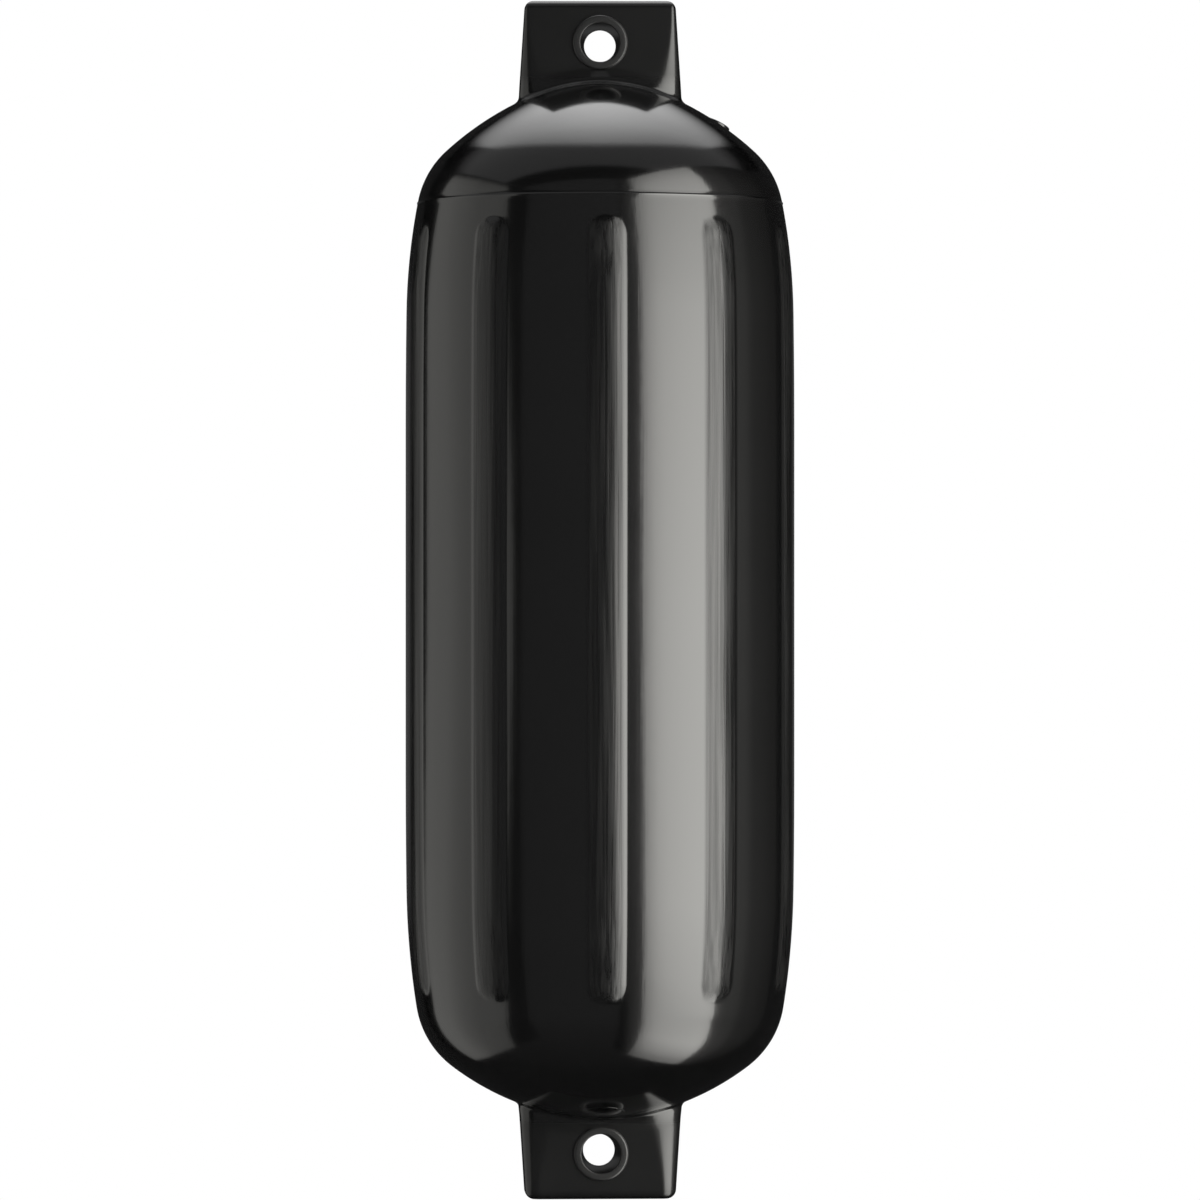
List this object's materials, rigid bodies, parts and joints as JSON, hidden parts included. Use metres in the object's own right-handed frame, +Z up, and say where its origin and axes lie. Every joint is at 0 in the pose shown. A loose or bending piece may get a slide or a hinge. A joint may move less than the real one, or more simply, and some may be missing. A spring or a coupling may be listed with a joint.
{
  "type": "boat fender",
  "caption": "Inflatable boat fender: a ribbed round body with domed ends and an eye lug at each end, hung upright by its upper eye.",
  "frame": {"origin": "centre of the upper eye, where the fender hangs", "axes": "+Z up along the body's axis, the eyes' holes run along Y, and the front with the round moulding mark is -Y"},
  "size_m": [0.2236, 0.2288, 0.6883],
  "materials": {
    "vinyl": "gloss",
    "valve_rubber": "matt"
  },
  "bodies": {
    "root": {"fender_body": "vinyl", "inflation_valve": "valve_rubber"}
  },
  "joints": []
}
